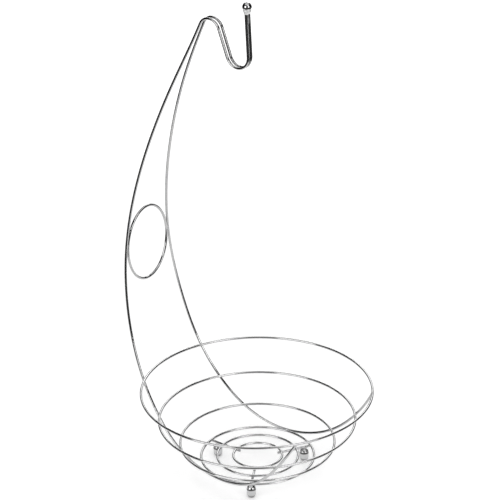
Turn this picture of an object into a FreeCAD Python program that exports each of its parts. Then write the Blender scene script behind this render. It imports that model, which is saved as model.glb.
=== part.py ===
import FreeCAD
import Part
import Sketcher
import math
import os
from FreeCAD import Placement, Rotation, Vector

# The bowl stands on the XY plane with its axis on Z. The hanger rises at the back, +Y, and the
# hook comes forward over the middle of the bowl. Left is -X. Millimetres and degrees.

os.makedirs("parts", exist_ok=True)
doc = FreeCAD.newDocument("BananaHangerBowl")
sheet = doc.addObject("Spreadsheet::Sheet", "Sizes")

sizes = [
    ("wire_diameter", 3.0, "all the wire is one gauge"),
    ("weld_gap", 0.05, "left between wires where they are welded"),
    ("rim_radius", 128.5, "bowl rings, to the middle of the wire"),
    ("upper_ring_radius", 109.6, ""),
    ("lower_ring_radius", 86.5, ""),
    ("base_outer_radius", 63.6, "three flat rings make the floor of the bowl"),
    ("base_middle_radius", 45.6, ""),
    ("base_inner_radius", 27.5, ""),
    ("rim_height", 103.0, "middle of the wire above the table"),
    ("upper_ring_height", 67.4, ""),
    ("lower_ring_height", 38.2, ""),
    ("foot_diameter", 10.5, "round-ended feet under the bars"),
    ("foot_height", 15.5, ""),
    ("foot_flat_radius", 1.5, "small flats at both ends of a foot"),
    ("foot_inset", 6.4, "middle of a foot inside the outer floor ring"),
    ("bar_inner_overhang", 3.1, "how far a bar runs past the middle of the end rings"),
    ("bar_outer_overhang", 1.5, ""),
    ("bar_end_round", 0.6, "edge rounded off both ends of a bar"),
    ("rim_back_angle", 23.4, "where a hanger wire meets the rings, turned from the back"),
    ("upper_back_angle", 30.1, ""),
    ("lower_back_angle", 43.3, ""),
    ("lower_front_angle", 55.8, "and turned from the front"),
    ("upper_front_angle", 43.1, ""),
    ("rim_front_angle", 33.8, ""),
    ("notch_angle", 8.0, "stretch of the rim that a front end is cut to fit"),
    ("waist_back", 141.1, "places the hanger wire passes: behind the axis"),
    ("waist_rise", 55.8, "above the place before, the first above the rim"),
    ("waist_spread", 47.0, "and out from the middle plane"),
    ("brace_back", 151.6, ""),
    ("brace_rise", 85.2, ""),
    ("brace_spread", 37.0, ""),
    ("shoulder_back", 132.5, ""),
    ("shoulder_rise", 115.6, ""),
    ("shoulder_spread", 21.6, ""),
    ("neck_back", 98.7, ""),
    ("neck_rise", 90.0, ""),
    ("neck_spread", 9.1, ""),
    ("brace_length", 87.2, "oval ring between the wires, top to bottom"),
    ("crown_rise", 77.4, "top of the bend over the hook, above the neck"),
    ("crown_radius", 13.0, ""),
    ("rise_angle", 64.4, "degrees from level, up to the crown"),
    ("drop_angle", 70.0, "degrees from level, down to the hook"),
    ("hook_drop", 47.5, "lowest point of the hook, below the crown"),
    ("hook_radius", 14.0, ""),
    ("hook_back", 17.2, "middle of the hook's bend behind the axis of the bowl"),
    ("tip_length", 54.3, "straight, from the hook's bend to the middle of the ball"),
    ("tip_lean_angle", 2.5, "degrees back from upright"),
    ("tip_spread", 2.55, "middle of a wire out from the middle plane, at the ball"),
    ("splay_angle", 0.9, "the hook's two wires part slowly towards the crown"),
    ("ball_diameter", 10.0, ""),
]
for row, (name, value, note) in enumerate(sizes, start=1):
    sheet.set(f"A{row}", name)
    sheet.set(f"B{row}", str(value))
    sheet.set(f"C{row}", note)
    sheet.setAlias(f"B{row}", name)
doc.recompute()


def size(name):
    return float(sheet.get(name))


wire_radius = size("wire_diameter") / 2
pitch = size("wire_diameter") + size("weld_gap")  # middle to middle of two welded wires
BAR_HEIGHT = "Sizes.foot_height + Sizes.weld_gap + Sizes.wire_diameter / 2"
FLOOR_HEIGHT = f"{BAR_HEIGHT} + Sizes.wire_diameter + Sizes.weld_gap"
base_ring_height = size("foot_height") + size("weld_gap") + wire_radius + pitch
bar_angles = {"back": 90, "left": 210, "right": 330}  # round the axis from +X, one foot on each
settling_rounds = 6
climb = ["rim_height", "waist_rise", "brace_rise", "shoulder_rise", "neck_rise", "crown_rise"]


def height_at(place):
    """Height of a place on the hanger, which stands on the places below it."""
    return sum(size(step) for step in climb[:climb.index(f"{place}_rise") + 1])


# Bowl rings

def wire_ring(label, radius, height):
    """A closed ring of round wire, level, centred on the axis of the bowl."""
    ring = doc.addObject("Part::Torus", label)
    ring.setExpression("Radius1", f"Sizes.{radius}")
    ring.setExpression("Radius2", "Sizes.wire_diameter / 2")
    ring.setExpression("Placement.Base.z", height)
    return ring


rings = [
    wire_ring("rim_ring", "rim_radius", "Sizes.rim_height"),
    wire_ring("upper_ring", "upper_ring_radius", "Sizes.upper_ring_height"),
    wire_ring("lower_ring", "lower_ring_radius", "Sizes.lower_ring_height"),
    wire_ring("base_outer_ring", "base_outer_radius", FLOOR_HEIGHT),
    wire_ring("base_middle_ring", "base_middle_radius", FLOOR_HEIGHT),
    wire_ring("base_inner_ring", "base_inner_radius", FLOOR_HEIGHT),
]


# Feet and the bars that tie the floor rings together

def foot_bar(label, angle):
    """A straight wire under the floor rings, from inside the inner ring to past the outer one."""
    bar = doc.addObject("Part::Cylinder", f"{label}_wire")
    bar.setExpression("Radius", "Sizes.wire_diameter / 2")
    bar.setExpression("Height", "Sizes.base_outer_radius + Sizes.bar_outer_overhang"
                                " - Sizes.base_inner_radius + Sizes.bar_inner_overhang")
    start = "(Sizes.base_inner_radius - Sizes.bar_inner_overhang)"
    bar.Placement.Rotation = Rotation(Vector(0, 0, 1), angle) * Rotation(Vector(0, 1, 0), 90)
    bar.setExpression("Placement.Base.x", f"{start} * {math.cos(math.radians(angle))}")
    bar.setExpression("Placement.Base.y", f"{start} * {math.sin(math.radians(angle))}")
    bar.setExpression("Placement.Base.z", BAR_HEIGHT)
    doc.recompute()
    rounded = doc.addObject("Part::Fillet", label)
    rounded.Base = bar
    round_size = size("bar_end_round")
    rounded.Edges = [(number, round_size, round_size)
                     for number, edge in enumerate(bar.Shape.Edges, start=1) if edge.Closed
                     and isinstance(edge.Curve, Part.Circle)]
    return rounded


def origin_plane(body, role):
    return next(plane for plane in body.Origin.OriginFeatures if plane.Role == role)


def foot(label, angle):
    """A turned foot: a round-ended post, revolved from half of its outline."""
    body = doc.addObject("PartDesign::Body", label)
    outline = body.newObject("Sketcher::SketchObject", f"{label}_outline")
    outline.AttachmentSupport = [(origin_plane(body, "XZ_Plane"), "")]
    outline.MapMode = "FlatFace"
    radius = size("foot_diameter") / 2
    flat = size("foot_flat_radius")
    top = size("foot_height")
    dome = math.sqrt(radius**2 - flat**2)
    turn = math.acos(flat / radius)
    upward = Vector(0, 0, 1)
    corners = [Vector(0, 0), Vector(flat, 0), Vector(radius, dome), Vector(radius, top - dome),
               Vector(flat, top), Vector(0, top)]
    under, side, over, axis = (
        outline.addGeometry(Part.LineSegment(corners[a], corners[b]), False)
        for a, b in ((0, 1), (2, 3), (4, 5), (5, 0)))
    low = outline.addGeometry(
        Part.ArcOfCircle(Part.Circle(Vector(0, dome), upward, radius), -turn, 0), False)
    high = outline.addGeometry(
        Part.ArcOfCircle(Part.Circle(Vector(0, top - dome), upward, radius), 0, turn), False)
    first, last, middle = 1, 2, 3
    for one, one_end, other, other_end in (
            (under, last, low, first), (high, last, over, first),
            (over, last, axis, first), (axis, last, under, first)):
        outline.addConstraint(Sketcher.Constraint("Coincident", one, one_end, other, other_end))
    for one, one_end, other, other_end in ((low, last, side, first), (side, last, high, first)):
        outline.addConstraint(Sketcher.Constraint("Tangent", one, one_end, other, other_end))
    outline.addConstraint(Sketcher.Constraint("Coincident", under, first, -1, 1))
    for line in (under, over):
        outline.addConstraint(Sketcher.Constraint("Horizontal", line))
    outline.addConstraint(Sketcher.Constraint("Vertical", axis))
    for arc in (low, high):
        outline.addConstraint(Sketcher.Constraint("PointOnObject", arc, middle, -2))
    outline.addConstraint(Sketcher.Constraint("Equal", low, high))
    for name, constraint, value in (
            ("radius", Sketcher.Constraint("Radius", low, radius), "Sizes.foot_diameter / 2"),
            ("flat", Sketcher.Constraint("DistanceX", under, first, under, last, flat),
             "Sizes.foot_flat_radius"),
            ("tall", Sketcher.Constraint("DistanceY", under, first, over, last, top),
             "Sizes.foot_height")):
        number = outline.addConstraint(constraint)
        outline.renameConstraint(number, name)
        outline.setExpression(f"Constraints.{name}", value)
    turned = body.newObject("PartDesign::Revolution", f"{label}_turned")
    turned.Profile = outline
    turned.ReferenceAxis = (outline, ["V_Axis"])
    turned.Angle = 360
    body.setExpression("Placement.Base.x",
                       f"(Sizes.base_outer_radius - Sizes.foot_inset) * {math.cos(math.radians(angle))}")
    body.setExpression("Placement.Base.y",
                       f"(Sizes.base_outer_radius - Sizes.foot_inset) * {math.sin(math.radians(angle))}")
    return body


bars = [foot_bar(f"{place}_foot_bar", angle) for place, angle in bar_angles.items()]
feet = [foot(f"{place}_foot", angle) for place, angle in bar_angles.items()]


# Hanger wires: from the ball round the hook, over the crown, down the back and under the bowl

def circle_point(centre, radius, degrees):
    """A point of a circle in the middle plane, as (back, height)."""
    turn = math.radians(degrees)
    return centre[0] + radius * math.cos(turn), centre[1] + radius * math.sin(turn)


def hook_middle():
    """Middle of the hook's bend, as (back, height)."""
    return size("hook_back"), height_at("crown") - size("hook_drop") + size("hook_radius")


def tip_place(along):
    """A point on the line of the tip, that far above the hook's bend, as (back, height)."""
    lean = math.radians(size("tip_lean_angle"))
    back, height = circle_point(hook_middle(), size("hook_radius"), 180 - size("tip_lean_angle"))
    return back + along * math.sin(lean), height + along * math.cos(lean)


def hook_edges(side):
    """Tip, hook, straight drop and crown, in one upright plane beside the middle plane."""
    drop, rise, lean = size("drop_angle"), size("rise_angle"), size("tip_lean_angle")
    hook_r, crown_r = size("hook_radius"), size("crown_radius")
    hook = hook_middle()
    # The drop is tangent to both bends, so the crown's place behind the hook follows.
    crown_z = height_at("crown") - crown_r
    slope = math.radians(drop)
    drop_length = (crown_z - hook[1] + (hook_r + crown_r) * math.cos(slope)) / math.sin(slope)
    crown = (hook[0] + (hook_r + crown_r) * math.sin(slope) + drop_length * math.cos(slope), crown_z)
    route = [
        tip_place(size("tip_length")),
        circle_point(hook, hook_r, 180 - lean),
        circle_point(hook, hook_r, (90 + drop - lean) / 2 + 180),
        circle_point(hook, hook_r, drop - 90),
        circle_point(crown, crown_r, drop + 90),
        circle_point(crown, crown_r, (180 + drop - rise) / 2),
        circle_point(crown, crown_r, 90 - rise),
    ]
    tip, hook_in, hook_low, hook_out, crown_in, crown_top, crown_out = (
        Vector(side * size("tip_spread"), back, height) for back, height in route)
    edges = [
        Part.LineSegment(tip, hook_in).toShape(),
        Part.Arc(hook_in, hook_low, hook_out).toShape(),
        Part.LineSegment(hook_out, crown_in).toShape(),
        Part.Arc(crown_in, crown_top, crown_out).toShape(),
    ]
    return [edge.rotated(tip, Vector(0, 0, 1), -side * size("splay_angle")) for edge in edges]


def outward(side, turn):
    """Level direction away from the axis, turned in degrees from the back towards one side."""
    a = math.radians(turn)
    return Vector(side * math.sin(a), math.cos(a), 0)


def cradle_curve(side, start, start_direction):
    """The long smooth stretch, against the outside of every ring and up into the rim in front."""
    places = [Vector(side * size(f"{name}_spread"), size(f"{name}_back"), height_at(name))
              for name in ("neck", "shoulder", "brace", "waist")]
    going_down = [("rim", "rim_back"), ("upper_ring", "upper_back"), ("lower_ring", "lower_back")]
    coming_up = [("lower_ring", "lower_front"), ("upper_ring", "upper_front"), ("rim", "rim_front")]
    seats = [[size(f"{ring}_radius"), size(f"{ring}_height"), size(f"{turn}_angle")]
             for ring, turn in going_down]
    seats.append([size("base_outer_radius"), base_ring_height, 90])
    seats += [[size(f"{ring}_radius"), size(f"{ring}_height"), 180 - size(f"{turn}_angle")]
              for ring, turn in coming_up]
    floor = len(going_down)
    away = [outward(side, turn) for _, _, turn in seats[:-1]] + [Vector()]
    curve = Part.BSplineCurve()
    # A wire stands off a ring square to both, so its own direction settles over a few rounds.
    for _ in range(settling_rounds):
        centres = [outward(side, turn) * radius + Vector(0, 0, height) + off * pitch
                   for (radius, height, turn), off in zip(seats, away)]
        points = [start] + places + centres
        held = [True] + [False] * (len(points) - 1)
        curve.interpolate(Points=points, Tangents=[start_direction] * len(points), TangentFlags=held)
        runs = [curve.tangent(curve.parameter(point))[0] for point in centres]
        for seat, (radius, height, turn) in enumerate(seats[:-1]):
            if seat == floor:  # here wire and ring run side by side
                seats[floor][2] = math.degrees(math.atan2(-runs[floor].y, side * runs[floor].x))
                away[floor] = outward(side, seats[floor][2])
                continue
            off = outward(side, turn + 90).cross(runs[seat]).normalize()
            away[seat] = off if off.dot(outward(side, turn)) > 0 else -off
    return curve


def wire_along(label, edges):
    """Round wire swept along joined edges, starting square to the first of them."""
    route = doc.addObject("Part::Feature", f"{label}_route")
    route.Shape = Part.Wire(edges)
    first = edges[0]
    section = doc.addObject("Part::Circle", f"{label}_section")
    section.setExpression("Radius", "Sizes.wire_diameter / 2")
    section.Placement = Placement(first.valueAt(first.FirstParameter),
                                  Rotation(Vector(0, 0, 1), first.tangentAt(first.FirstParameter)))
    wire = doc.addObject("Part::Sweep", label)
    wire.Sections = [section]
    wire.Spine = (route, [f"Edge{number}" for number in range(1, len(edges) + 1)])
    wire.Solid = True
    return wire


def rim_notch(label, side):
    """The stretch of the rim over a wire's front end, thicker by the weld gap."""
    notch = doc.addObject("Part::Torus", f"{label}_rim_notch")
    notch.setExpression("Radius1", "Sizes.rim_radius")
    notch.setExpression("Radius2", "Sizes.wire_diameter / 2 + Sizes.weld_gap")
    notch.setExpression("Angle3", "Sizes.notch_angle")
    notch.setExpression("Placement.Base.z", "Sizes.rim_height")
    over_end = outward(side, 180 - size("rim_front_angle"))
    start = math.degrees(math.atan2(over_end.y, over_end.x)) - size("notch_angle") / 2
    notch.Placement.Rotation = Rotation(Vector(0, 0, 1), start)
    return notch


def ball_notch(label):
    """The ball over a wire's top end, thicker by the weld gap."""
    notch = doc.addObject("Part::Sphere", f"{label}_ball_notch")
    notch.setExpression("Radius", "Sizes.ball_diameter / 2 + Sizes.weld_gap")
    notch.Placement.Base = ball_middle
    return notch


def cut_to_fit(label, base, tool):
    """The wire with its end cut to the shape of what it is welded to."""
    cut = doc.addObject("Part::Cut", label)
    cut.Base = base
    cut.Tool = tool
    return cut


hangers = []
cradles = {}
ball_middle = Vector(0, *tip_place(size("tip_length")))
for label, side in (("left_hanger_wire", -1), ("right_hanger_wire", 1)):
    edges = hook_edges(side)
    crown = edges[-1]
    curve = cradle_curve(side, crown.valueAt(crown.LastParameter), crown.tangentAt(crown.LastParameter))
    cradles[label] = curve
    swept = wire_along(f"{label}_swept", edges + [curve.toShape()])
    topped = cut_to_fit(f"{label}_topped", swept, ball_notch(label))
    hangers.append(cut_to_fit(label, topped, rim_notch(label, side)))


# Oval ring welded between the two wires where they stand furthest back

brace_middle = Vector(0, size("brace_back"), height_at("brace"))
right_cradle = cradles["right_hanger_wire"]
weld_place = right_cradle.parameter(brace_middle + Vector(size("brace_spread"), 0, 0))
beside = right_cradle.tangent(weld_place)[0]
closing = math.atan2(abs(beside.x), math.hypot(beside.y, beside.z))  # how fast the wires close in
brace_up = Vector(0, -beside.y, -beside.z).normalize()
half_length = size("brace_length") / 2
reach = size("brace_spread") * math.cos(closing) - pitch
half_width = math.sqrt(reach**2 - (half_length * math.sin(closing))**2) / math.cos(closing)
long_end, short_end = sorted((brace_up * half_length, Vector(half_width, 0, 0)),
                             key=lambda arm: arm.Length, reverse=True)
oval = Part.Ellipse(brace_middle + long_end, brace_middle + short_end, brace_middle)
brace = wire_along("brace_ring", [oval.toShape()])


# Ball on the tip of the hook

ball = doc.addObject("Part::Sphere", "hook_ball")
ball.setExpression("Radius", "Sizes.ball_diameter / 2")
ball.Placement.Base = ball_middle


# Build, test and write every piece

doc.recompute()
pieces = rings + bars + feet + hangers + [brace, ball]
broken = [item.Label for item in doc.Objects if "Invalid" in item.State or "Error" in item.State]
broken += [piece.Label for piece in pieces if piece.Shape.isNull() or not piece.Shape.isValid()]
if broken:
    raise RuntimeError(f"These did not build: {broken}")
for piece in pieces:
    piece.Shape.exportStep(f"parts/{piece.Label}.step")
    print(f"{piece.Label}: {piece.Shape.Volume:.1f} mm3")
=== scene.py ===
import math
import bmesh
import bpy
from mathutils import Matrix, Vector
from mathutils.bvhtree import BVHTree


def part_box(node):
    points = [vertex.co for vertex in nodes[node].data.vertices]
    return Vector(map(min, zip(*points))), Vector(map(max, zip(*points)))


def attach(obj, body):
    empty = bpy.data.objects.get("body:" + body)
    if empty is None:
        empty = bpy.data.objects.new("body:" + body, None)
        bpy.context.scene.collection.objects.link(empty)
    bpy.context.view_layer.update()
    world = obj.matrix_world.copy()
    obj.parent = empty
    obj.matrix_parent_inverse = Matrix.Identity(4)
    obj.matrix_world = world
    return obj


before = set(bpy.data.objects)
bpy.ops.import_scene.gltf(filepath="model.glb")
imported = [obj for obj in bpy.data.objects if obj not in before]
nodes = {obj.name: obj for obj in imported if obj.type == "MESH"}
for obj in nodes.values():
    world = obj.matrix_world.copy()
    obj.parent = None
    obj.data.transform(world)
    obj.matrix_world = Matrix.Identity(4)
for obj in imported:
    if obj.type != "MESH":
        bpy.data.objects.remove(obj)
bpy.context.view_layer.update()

# The bowl stands on the floor at z = 0 with its axis on Z. The hanger rises at +Y, left is -X.
# Everything is in metres.

print("frame loaded:", len(nodes), "pieces of wire and bead")


# Camera

cameraSetup = {
    "place": (-1.705, -1.312, 1.271),
    "heading": 37.715,   # degrees round from +X
    "down": 24.85,
    "roll": -0.87,
    "lens": 158.4,
    "sensor": 36.0,
    "farthest": 50.0,    # how far it sees
}


def addCamera(setup):
    bpy.ops.object.camera_add(location=setup["place"])
    camera = bpy.context.object
    camera.name = "photoCamera"
    turn = Matrix.Rotation(math.radians(setup["heading"] - 90), 3, "Z")
    tilt = Matrix.Rotation(math.radians(90 - setup["down"]), 3, "X")
    roll = Matrix.Rotation(math.radians(setup["roll"]), 3, "Z")
    camera.rotation_euler = (turn @ tilt @ roll).to_euler()
    camera.data.lens = setup["lens"]
    camera.data.sensor_width = setup["sensor"]
    camera.data.clip_end = setup["farthest"]
    bpy.context.scene.camera = camera


addCamera(cameraSetup)
print("camera placed")


# Shader maths

class Shade:
    # one output of a node, so that shader maths reads as plain sums
    def __init__(self, tree, out=None):
        self.tree = tree
        self.out = out

    def node(self, kind, settings=None, sockets=None, take=0):
        # settings are set first, then each socket gets its value or its link
        made = self.tree.nodes.new(kind)
        for name, value in (settings or {}).items():
            if name == "stops":
                ramp = made.color_ramp
                while len(ramp.elements) < len(value):
                    ramp.elements.new(1.0)
                for element, (place, tone) in zip(ramp.elements, value):
                    element.position = place
                    element.color = (tone, tone, tone, 1)
            else:
                setattr(made, name, value)
        for key, value in (sockets or {}).items():
            if isinstance(value, Shade):
                self.tree.links.new(value.out, made.inputs[key])
            else:
                made.inputs[key].default_value = value
        return Shade(self.tree, made.outputs[take])

    def maths(self, operation, *values):
        return self.node("ShaderNodeMath", {"operation": operation}, dict(enumerate(values)))

    def __add__(self, other):
        return self.maths("ADD", self, other)

    def __radd__(self, other):
        return self.maths("ADD", other, self)

    def __mul__(self, other):
        return self.maths("MULTIPLY", self, other)

    def __rmul__(self, other):
        return self.maths("MULTIPLY", other, self)

    def __pow__(self, other):
        return self.maths("POWER", self, other)


def newMaterial(name):
    material = bpy.data.materials.new(name)
    material.use_nodes = True
    tree = material.node_tree
    tree.nodes.clear()
    surface = tree.nodes.new("ShaderNodeOutputMaterial")
    return material, Shade(tree), surface


# Chrome plate

chromeWire = {
    "tint": {"ring": 0.64, "hanger": 0.55},      # the hanger's plate reads darker than the bowl's
    "shadeTint": {"ring": 0.57, "hanger": 0.49},
    "blue": 0.01,          # the handled plate is a little cooler
    "roughness": 0.07,
    "smudge": 0.05,        # added roughness where the plate is dulled by handling
    "streak": 0.03,        # added roughness of the drawing lines along the wire
    "streakScale": 2600,
    "drawnOut": 0.02,      # how much coarser the drawing lines are along the wire
    "smudgeScale": 38,
    "dulled": (0.42, 0.68),    # noise between which the plate goes from bright to dull
    "bumpHeight": 0.000012,
}
chromeBead = {
    "tint": (0.63, 0.63, 0.63),
    "shadeTint": (0.57, 0.57, 0.58),
    "metal": 1.0,
    "roughness": 0.05,
    "smudge": 0.04,
    "pitScale": 900,
    "smudgeScale": 120,
    "dulled": (0.40, 0.70),
    "bumpHeight": 0.000008,
}
# painted shade on a foot: darker low down, a painted reflection of the shadow where it meets the floor,
# and a dark band under its round top, a painted reflection; shares of its height, and how bright the
# plate is there
footPaintedShade = ((0.0, 0.35), (0.12, 0.55), (0.32, 1.0), (0.63, 1.0),
             (0.68, 0.10), (0.74, 0.10), (0.79, 1.0))
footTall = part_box("back_foot")[1].z
chromeWeld = {
    "tint": (0.64, 0.64, 0.64),
    "shadeTint": (0.52, 0.52, 0.53),
    "metal": 1.0,
    "roughness": 0.22,
    "smudge": 0.14,
    "pitScale": 1700,
    "smudgeScale": 420,
    "dulled": (0.40, 0.70),
    "bumpHeight": 0.00004,
}
chromeNeck = {
    "tint": (0.92, 0.92, 0.92),
    "shadeTint": (0.80, 0.80, 0.80),
    "metal": 0.5,          # dull, pale weld metal that the plate covers thinly
    "roughness": 0.42,
    "smudge": 0.10,
    "pitScale": 1700,
    "smudgeScale": 420,
    "dulled": (0.40, 0.70),
    "bumpHeight": 0.00002,
}
chromeSeam = {
    "tint": (0.92, 0.92, 0.92),
    "shadeTint": (0.34, 0.34, 0.34),
    "metal": 0.7,          # speckled, pale where it was brushed
    "roughness": 0.38,
    "smudge": 0.10,
    "pitScale": 1700,
    "smudgeScale": 600,
    "dulled": (0.40, 0.70),
    "bumpHeight": 0.00004,
}


def dullPatches(start, place, facts):
    # 0 where the plate is bright, 1 where handling has dulled it
    smudge = start.node("ShaderNodeTexNoise", sockets={
        "Vector": place, "Scale": facts["smudgeScale"], "Detail": 4.0})
    bright, dull = facts["dulled"]
    return start.node("ShaderNodeValToRGB", {"stops": ((bright, 0.0), (dull, 1.0))}, {0: smudge})


def chromeOfWire(facts, kind):
    # drawing lines run along the wire: round the axis on the rings, up and down on the hanger
    material, start, surface = newMaterial(kind + "Chrome")
    place = start.node("ShaderNodeTexCoord", take=3)
    x, y, z = (start.node("ShaderNodeSeparateXYZ", sockets={0: place}, take=axis) for axis in range(3))
    if kind == "ring":
        along = x.maths("ARCTAN2", y, x) * facts["drawnOut"]
        across = (x * x + y * y) ** 0.5
        lines = start.node("ShaderNodeCombineXYZ", sockets={0: across, 1: along, 2: z})
    else:
        lines = start.node("ShaderNodeCombineXYZ", sockets={
            0: x, 1: y, 2: z * facts["drawnOut"]})
    streak = start.node("ShaderNodeTexNoise", sockets={
        "Vector": lines, "Scale": facts["streakScale"], "Detail": 2.0})
    patch = dullPatches(start, place, facts)
    tint, shadeTint = facts["tint"][kind], facts["shadeTint"][kind]
    tone = start.node("ShaderNodeMix", {"data_type": "RGBA"}, {
        0: patch, 6: (tint, tint, tint, 1),
        7: (shadeTint, shadeTint, shadeTint + facts["blue"], 1)}, take=2)
    bump = start.node("ShaderNodeBump", sockets={
        "Height": streak, "Distance": facts["bumpHeight"], "Strength": 0.6})
    shader = start.node("ShaderNodeBsdfPrincipled", sockets={
        "Base Color": tone, "Metallic": 1.0,
        "Roughness": facts["roughness"] + patch * facts["smudge"] + streak * facts["streak"],
        "Normal": bump})
    start.tree.links.new(shader.out, surface.inputs["Surface"])
    return material


def chromeOfBead(name, facts, paintedShadeStops=()):
    # the stops of painted shade, given as shares of height and how bright the plate is there
    material, start, surface = newMaterial(name)
    place = start.node("ShaderNodeTexCoord", take=3)
    pits = start.node("ShaderNodeTexNoise", sockets={
        "Vector": place, "Scale": facts["pitScale"], "Detail": 2.0})
    patch = dullPatches(start, place, facts)
    tone = start.node("ShaderNodeMix", {"data_type": "RGBA"}, {
        0: patch, 6: (*facts["tint"], 1), 7: (*facts["shadeTint"], 1)}, take=2)
    # painted shade: the tone is darkened by height up the part
    if paintedShadeStops:
        height = start.node("ShaderNodeSeparateXYZ", sockets={0: place}, take=2) * (1 / footTall)
        paintedShadeBand = start.node("ShaderNodeValToRGB", {"stops": paintedShadeStops}, {0: height})
        tone = start.node("ShaderNodeMix", {"data_type": "RGBA", "blend_type": "MULTIPLY"}, {
            0: 1.0, 6: tone, 7: paintedShadeBand}, take=2)
    bump = start.node("ShaderNodeBump", sockets={
        "Height": pits, "Distance": facts["bumpHeight"], "Strength": 0.5})
    shader = start.node("ShaderNodeBsdfPrincipled", sockets={
        "Base Color": tone, "Metallic": facts["metal"],
        "Roughness": facts["roughness"] + patch * facts["smudge"],
        "Normal": bump})
    start.tree.links.new(shader.out, surface.inputs["Surface"])
    return material


ringChrome = chromeOfWire(chromeWire, "ring")
hangerChrome = chromeOfWire(chromeWire, "hanger")
beadChrome = chromeOfBead("beadChrome", chromeBead)
# the feet's chrome carries painted shade: darker low down and in a band under the round top
footChromeWithPaintedShade = chromeOfBead("footChromeWithPaintedShade", chromeBead, footPaintedShade)
weldChrome = chromeOfBead("weldChrome", chromeWeld)
neckChrome = chromeOfBead("neckChrome", chromeNeck)
seamChrome = chromeOfBead("seamChrome", chromeSeam)
for name, piece in nodes.items():
    if name.endswith("_foot"):
        coat = footChromeWithPaintedShade
    elif name == "hook_ball":
        coat = beadChrome
    elif name.endswith("_ring") and name != "brace_ring":
        coat = ringChrome
    else:
        coat = hangerChrome
    for place in piece.material_slots:
        place.material = coat
print("chrome on", len(nodes), "pieces")


# Welds: a small bead of metal in the crease wherever two wires are joined

weldBead = {
    # its reach along the seam and across it, pinched in between the wires
    "rings": ((0.00115, 0.00115), (0.00105, 0.00105), (0.00095, 0.00095), (0.00105, 0.00105),
              (0.00115, 0.00115)),
    "depth": 0.0014,
    "sides": 20,
    "lumps": 0.00006,    # how uneven it is
    "seam": 3.0,         # this much longer where the wires run side by side
    "endCollar": 1.36,   # this much wider round a wire that ends at the rim
    "footCollar": 1.6,   # and under a bar, on top of a foot
}
ballNeck = {
    # from the ball down to the two wires: its reach along the row of the two, and across it
    "rings": ((0.0043, 0.0043), (0.0046, 0.0045), (0.0045, 0.0039), (0.0043, 0.0032),
              (0.0041, 0.0025)),
    "sunk": 0.0024,      # up into the ball
    "hangs": 0.0028,     # down the wires below the ball
    "sides": 40,
}
tipSeam = {
    # from one wire of the tip to the other: its reach along the wires and across them
    "rings": ((0.0056, 0.0013), (0.0060, 0.0009), (0.0056, 0.0013)),
    "depth": 0.0034,
    "below": 0.0085,     # from the underside of the ball down to its middle
    "sides": 40,
    "lumps": 0.00012,
}
hangerNames = ("left_hanger_wire", "right_hanger_wire")
floorRings = ("base_outer_ring", "base_middle_ring", "base_inner_ring")
closeUp = 1.25       # a wire nearer than this many wire radii touches the ring
braceClose = 1 / 3   # and nearer than this many, the surface of the brace ring
belowRim = 3         # wire radii under the rim where a wire's end is looked for
belowBall = 4        # ball radii under the ball where the tip's two wires are looked for
stepsRound = 1440
upright = 0.9        # an edge or a face this near to z, as a cosine, counts as along z
innerCap = 0.25      # inset of a collar's end caps, as a share of its shorter reach


def selectVerts(piece, wanted):
    bpy.ops.mesh.select_all(action="DESELECT")
    mesh = bmesh.from_edit_mesh(piece.data)
    for vert in mesh.verts:
        vert.select_set(wanted(vert.co))
    mesh.select_flush(True)
    bmesh.update_edit_mesh(piece.data)


def selectUpright(piece):
    bpy.ops.mesh.select_all(action="DESELECT")
    mesh = bmesh.from_edit_mesh(piece.data)
    for edge in mesh.edges:
        one, other = (vert.co for vert in edge.verts)
        if abs(one.z - other.z) > upright * (one - other).length:
            edge.select_set(True)
    bmesh.update_edit_mesh(piece.data)


def selectEnds(piece):
    bpy.ops.mesh.select_all(action="DESELECT")
    mesh = bmesh.from_edit_mesh(piece.data)
    for face in mesh.faces:
        if abs(face.normal.z) > upright:
            face.select_set(True)
    bmesh.update_edit_mesh(piece.data)


def modelCollar(name, sides, depth, rings):
    # a collar round the z axis: rings are its reach along x and y, from the top down
    bpy.ops.object.select_all(action="DESELECT")
    bpy.ops.mesh.primitive_cylinder_add(vertices=sides, radius=1, depth=depth)
    collar = bpy.context.object
    collar.name = name
    bpy.ops.object.mode_set(mode="EDIT")
    selectUpright(collar)
    bpy.ops.mesh.subdivide(number_cuts=len(rings) - 2)
    spacing = depth / (len(rings) - 1)
    for number, (alongX, alongY) in enumerate(rings):
        height = depth / 2 - number * spacing
        selectVerts(collar, lambda place: abs(place.z - height) < spacing / 4)
        bpy.ops.transform.resize(value=(alongX, alongY, 1), center_override=(0, 0, 0))
    selectEnds(collar)
    bpy.ops.mesh.inset(thickness=innerCap * min(rings[-1]))
    return collar


def finishCollar(collar, lumps):
    bpy.ops.mesh.select_all(action="SELECT")
    if lumps:
        bpy.ops.transform.vertex_random(offset=lumps, seed=4)
    bpy.ops.object.mode_set(mode="OBJECT")
    smooth = collar.modifiers.new("smooth", "SUBSURF")
    smooth.levels = 1
    smooth.render_levels = 1
    bpy.ops.object.modifier_apply(modifier=smooth.name)
    bpy.ops.object.shade_smooth()


def setDown(model, name, place, across, along, wide=1.0, long=1.0):
    # a copy with its own mesh: its z is turned to across, and its x to along
    piece = model.copy()
    piece.data = model.data.copy()
    piece.name = name
    bpy.context.collection.objects.link(piece)
    up = across.normalized()
    run = (along - along.dot(up) * up).normalized()
    turn = Matrix((run, up.cross(run), up)).transposed().to_4x4()
    piece.data.transform(Matrix.Translation(place) @ turn @ Matrix.Diagonal((long, wide, wide, 1)))
    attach(piece, "root")
    return piece


def dress(piece, coat):
    piece.data.materials.clear()
    piece.data.materials.append(coat)


def ringFacts(name):
    # radius and height of the ring's middle line, and the radius of its wire
    low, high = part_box(name)
    wire = (high.z - low.z) / 2
    return (high.x - low.x) / 2 - wire, (high.z + low.z) / 2, wire


def onRing(radius, height, turn):
    return Vector((radius * math.cos(turn), radius * math.sin(turn), height))


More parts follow.
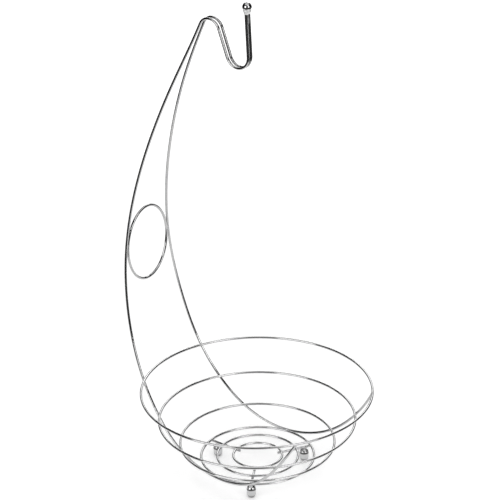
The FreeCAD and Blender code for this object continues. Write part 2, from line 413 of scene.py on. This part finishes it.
def touches(name, tree):
    # places on a ring's middle line that face a wire, each the middle of a close stretch
    radius, height, wire = ringFacts(name)
    turns = [2 * math.pi * step / stepsRound - math.pi / 2 for step in range(stepsRound)]
    near = [tree.find_nearest(onRing(radius, height, turn))[3] < closeUp * wire for turn in turns]
    found = []
    for step in range(1, stepsRound):
        if near[step] and not near[step - 1]:
            found.append([turns[step], turns[step]])
        elif near[step]:
            found[-1][1] = turns[step]
    return [(onRing(radius, height, (first + last) / 2), (first + last) / 2) for first, last in found]


def wireMiddle(tree, probe, wire):
    # the middle of the wire that is nearest to a place outside it
    hit = tree.find_nearest(probe)[0]
    return hit + (hit - probe).normalized() * wire


def weldRings(bead, trees):
    made = []
    for ring in ("rim_ring", "upper_ring", "lower_ring", "base_outer_ring"):
        wire = ringFacts(ring)[2]
        for hanger, tree in trees.items():
            for number, (middle, turn) in enumerate(touches(ring, tree)):
                hit = tree.find_nearest(middle)[0]
                across = (hit - middle).normalized()
                along = Vector((-math.sin(turn), math.cos(turn), 0))
                wide, long = 1.0, 1.0
                if ring == "rim_ring" and middle.y < 0:     # the wire ends here
                    below = wireMiddle(tree, middle - Vector((0, 0, belowRim * wire)), wire)
                    across = (below - middle).normalized()
                    wide = long = weldBead["endCollar"]
                    hit = middle + across * wire
                elif ring == "base_outer_ring":             # side by side
                    long = weldBead["seam"]
                place = middle + across * (wire + (hit - middle).length) / 2
                name = f"weld_{ring}_{hanger.split('_')[0]}_{number}"
                made.append(setDown(bead, name, place, across, along, wide, long))
    return made


def weldBars(bead):
    made = []
    for side in ("back", "left", "right"):
        low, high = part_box(f"{side}_foot_bar")
        middle = (low + high) / 2
        out = Vector((middle.x, middle.y, 0)).normalized()
        for ring in floorRings:
            radius, height, wire = ringFacts(ring)
            place = out * radius + Vector((0, 0, (high.z + height - wire) / 2))
            made.append(setDown(bead, f"weld_{ring}_{side}_bar", place, Vector((0, 0, 1)), out))
        footLow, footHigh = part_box(f"{side}_foot")
        place = (footLow + footHigh) / 2
        place.z = (footHigh.z + low.z) / 2
        wide = weldBead["footCollar"]
        made.append(setDown(bead, f"weld_{side}_foot", place, Vector((0, 0, 1)), out, wide, wide))
    return made


def weldBrace(bead, trees):
    made = []
    wire = ringFacts("rim_ring")[2]
    for hanger, tree in trees.items():
        brace = nodes["brace_ring"].data.vertices
        pairs = [(vert.co.copy(), tree.find_nearest(vert.co)) for vert in brace]
        close = [(place + found[0]) / 2 for place, found in pairs if found[3] < braceClose * wire]
        place = sum(close, Vector()) / len(close)
        lowest = min(close, key=lambda point: point.z)
        highest = max(close, key=lambda point: point.z)
        across = Vector((1, 0, 0))
        name = f"weld_brace_{hanger.split('_')[0]}"
        made.append(setDown(bead, name, place, across, highest - lowest, 1.0, weldBead["seam"]))
    return made


def tipOfHook(trees):
    # middle and radius of the ball, and which way the two wires run up into it
    low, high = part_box("hook_ball")
    ball = (low + high) / 2
    radius = (high.x - low.x) / 2
    wire = ringFacts("rim_ring")[2]
    probe = ball - Vector((0, 0, belowBall * radius))
    middles = [wireMiddle(tree, probe, wire) for tree in trees.values()]
    upward = (ball - sum(middles, Vector()) / len(middles)).normalized()
    return ball, radius, upward


def neckUnderBall(facts, trees):
    ball, radius, upward = tipOfHook(trees)
    depth = facts["sunk"] + facts["hangs"]
    neck = modelCollar("neck", facts["sides"], depth, facts["rings"])
    finishCollar(neck, 0)
    place = ball - upward * (radius - facts["sunk"] + depth / 2)
    made = setDown(neck, "ball_neck", place, upward, Vector((1, 0, 0)))
    bpy.data.objects.remove(neck)
    return made


def seamUnderNeck(facts, trees):
    ball, radius, upward = tipOfHook(trees)
    seam = modelCollar("seam", facts["sides"], facts["depth"], facts["rings"])
    finishCollar(seam, facts["lumps"])
    place = ball - upward * (radius + facts["below"])
    made = setDown(seam, "weld_hook_tip", place, Vector((1, 0, 0)), upward)
    bpy.data.objects.remove(seam)
    return made


hangerTrees = {name: BVHTree.FromPolygons([vert.co for vert in nodes[name].data.vertices],
                                          [face.vertices for face in nodes[name].data.polygons])
               for name in hangerNames}
bead = modelCollar("bead", weldBead["sides"], weldBead["depth"], weldBead["rings"])
finishCollar(bead, weldBead["lumps"])
welds = weldRings(bead, hangerTrees) + weldBars(bead) + weldBrace(bead, hangerTrees)
bpy.data.objects.remove(bead)
for piece in welds:
    dress(piece, weldChrome)
dress(seamUnderNeck(tipSeam, hangerTrees), seamChrome)
dress(neckUnderBall(ballNeck, hangerTrees), neckChrome)
print("welds:", len(welds), "and one below the ball")


# Studio: a white floor with soft boxes round it, and a dark room and dark aprons on the floor
# that only the chrome sees

studio = {
    "aim": (0.0, 0.0, 0.2),
    "reach": 2.9,             # distance of the soft boxes from the aim
    "roomSize": 3.4,          # radius of the dark room
    "roomHeight": 3.6,
    "roomSides": 64,
    "apronLift": 0.0005,      # the dark aprons lie this far above the floor
    "floorSize": 40.0,
    "floorColour": (0.86, 0.86, 0.86),
    "floorLift": 0.35,        # how far the floor is lifted to white for the camera
    "farLift": 0.42,          # more of it far from the axis
    "farFrom": (0.5, 2.6),    # distances between which that grows
    "mirrorLift": 0.27,       # how far it is lifted for the chrome
    "contact": 0.005,         # reach of the dark under a foot
    "darkFloor": 0.05,        # what the chrome sees past the paper
    "darkWall": 0.008,
    "worldLight": 0.30,
    "paperHeading": 10.9,     # the chrome sees a sheet of white paper that lies this way
    "paper": (1.22, 0.32, 0.50, 0.75),   # its edges ahead, back, right and left of the axis
}
# heading and half width, then lower and upper edge, all in degrees as seen from the aim;
# a glow of 1 is white
softBoxes = {
    "leftBox": {"heading": 175.7, "half": 19.7, "low": -1.2, "high": 32.0, "glow": 2.54},
    "rightLowBox": {"heading": 258.0, "half": 16.7, "low": 4.3, "high": 25.7, "glow": 2.94},
    "rightHighBox": {"heading": 252.5, "half": 20.1, "low": 38.2, "high": 54.6, "glow": 2.09},
    "farBox": {"heading": 25.7, "half": 16.6, "low": 26.5, "high": 45.1, "glow": 2.77},
    "farSideBox": {"heading": 51.3, "half": 7.8, "low": 22.7, "high": 38.4, "glow": 2.61},
    "backdrop": {"heading": 22.8, "half": 20.1, "low": -4.0, "high": 20.3, "glow": 0.88},
}
overhead = {"from": 55.1, "glow": 0.79}


def towards(heading, rise):
    level = math.cos(math.radians(rise))
    return Vector((level * math.cos(math.radians(heading)),
                   level * math.sin(math.radians(heading)),
                   math.sin(math.radians(rise))))


def addLamp(name, place, way, shape, width, height, glow):
    bpy.ops.object.light_add(type="AREA", location=place)
    lamp = bpy.context.object
    lamp.name = name
    lamp.rotation_euler = way.to_track_quat("Z", "Y").to_euler()
    lamp.data.shape = shape
    lamp.data.size = width
    lamp.data.size_y = height
    area = width * height * (math.pi / 4 if shape == "DISK" else 1)
    lamp.data.energy = glow * math.pi * area
    lamp.visible_camera = False


def addSoftBox(name, box, facts):
    rise = (box["low"] + box["high"]) / 2
    reach = facts["reach"]
    way = towards(box["heading"], rise)
    width = 2 * reach * math.cos(math.radians(rise)) * math.tan(math.radians(box["half"]))
    height = 2 * reach * math.tan(math.radians((box["high"] - box["low"]) / 2))
    addLamp(name, Vector(facts["aim"]) + way * reach, way, "RECTANGLE", width, height, box["glow"])


def addOverhead(box, facts):
    turn = math.radians(box["from"])
    place = Vector(facts["aim"]) + Vector((0, 0, facts["reach"] * math.sin(turn)))
    width = 2 * facts["reach"] * math.cos(turn)
    addLamp("overheadBox", place, Vector((0, 0, 1)), "DISK", width, width, box["glow"])


def flagMaterial(name, glow):
    material, start, surface = newMaterial(name)
    dark = start.node("ShaderNodeEmission", sockets={"Color": (1, 1, 1, 1), "Strength": glow})
    start.tree.links.new(dark.out, surface.inputs["Surface"])
    return material


def onlyForChrome(piece, material):
    piece.data.materials.append(material)
    piece.visible_camera = False
    piece.visible_diffuse = False
    piece.visible_shadow = False


def addFlags(facts):
    size = facts["roomSize"]
    tall = facts["roomHeight"]
    bpy.ops.mesh.primitive_cylinder_add(vertices=facts["roomSides"], radius=size, depth=tall,
                                        end_fill_type="NGON", location=(0, 0, tall / 2))
    room = bpy.context.object
    room.name = "darkRoom"
    bpy.ops.object.mode_set(mode="EDIT")
    selectVerts(room, lambda place: place.z < 0)
    bpy.ops.mesh.delete(type="ONLY_FACE")
    bpy.ops.object.mode_set(mode="OBJECT")
    onlyForChrome(room, flagMaterial("wallDark", facts["darkWall"]))
    # dark aprons on the floor past the four edges of the paper
    dark = flagMaterial("floorDark", facts["darkFloor"])
    lift = Vector((0, 0, facts["apronLift"]))
    deep, wide = 2 * size, 4 * size
    for number, edge in enumerate(facts["paper"]):
        heading = facts["paperHeading"] + (0, 180, -90, 90)[number]
        place = towards(heading, 0) * (edge + deep / 2) + lift
        bpy.ops.mesh.primitive_plane_add(size=1, location=place, rotation=(0, 0, math.radians(heading)))
        apron = bpy.context.object
        apron.name = f"apron{number + 1}"
        apron.scale = (deep, wide, 1)
        onlyForChrome(apron, dark)


def raysThatSee(start):
    # 1 for a ray of the camera, and 1 for a ray in a mirror or through glass
    camera, mirror, glass = (start.node("ShaderNodeLightPath", take=name) for name in (
        "Is Camera Ray", "Is Glossy Ray", "Is Transmission Ray"))
    return camera, mirror + glass


def addFloor(facts):
    bpy.ops.mesh.primitive_plane_add(size=facts["floorSize"])
    floor = bpy.context.object
    floor.name = "floor"
    material, start, surface = newMaterial("floorPaper")
    diffuse = start.node("ShaderNodeBsdfDiffuse", sockets={"Color": (*facts["floorColour"], 1)})
    camera, mirror = raysThatSee(start)
    # past the lamps the floor is lifted more, so that low views stay white
    place = start.node("ShaderNodeTexCoord", take=3)
    away = start.node("ShaderNodeVectorMath", {"operation": "LENGTH"}, {0: place}, take=1)
    near, distant = facts["farFrom"]
    far = start.node("ShaderNodeMapRange", {"interpolation_type": "SMOOTHSTEP"}, {
        0: away, 1: near, 2: distant, 3: 0.0, 4: facts["farLift"]})
    # the chrome sees the floor go dark close under the feet
    clear = start.node("ShaderNodeAmbientOcclusion", {"samples": 8}, {
        "Distance": facts["contact"]}, take=1)
    glow = start.node("ShaderNodeEmission", sockets={
        "Color": (1, 1, 1, 1),
        "Strength": camera * (facts["floorLift"] + far) + mirror * clear * clear * facts["mirrorLift"]})
    both = start.node("ShaderNodeAddShader", sockets={0: diffuse, 1: glow})
    start.tree.links.new(both.out, surface.inputs["Surface"])
    floor.data.materials.append(material)


def addWorld(facts):
    world = bpy.data.worlds.new("studio")
    world.use_nodes = True
    bpy.context.scene.world = world
    tree = world.node_tree
    tree.nodes.clear()
    start = Shade(tree)
    surface = tree.nodes.new("ShaderNodeOutputWorld")
    camera, mirror = raysThatSee(start)
    strength = facts["worldLight"] + (1 - facts["worldLight"]) * (camera + mirror)
    back = start.node("ShaderNodeBackground", sockets={"Color": (1, 1, 1, 1), "Strength": strength})
    tree.links.new(back.out, surface.inputs["Surface"])


addFloor(studio)
addFlags(studio)
for name, box in softBoxes.items():
    addSoftBox(name, box, studio)
addOverhead(overhead, studio)
addWorld(studio)
bpy.context.scene.view_settings.view_transform = "Standard"
print("studio lit")
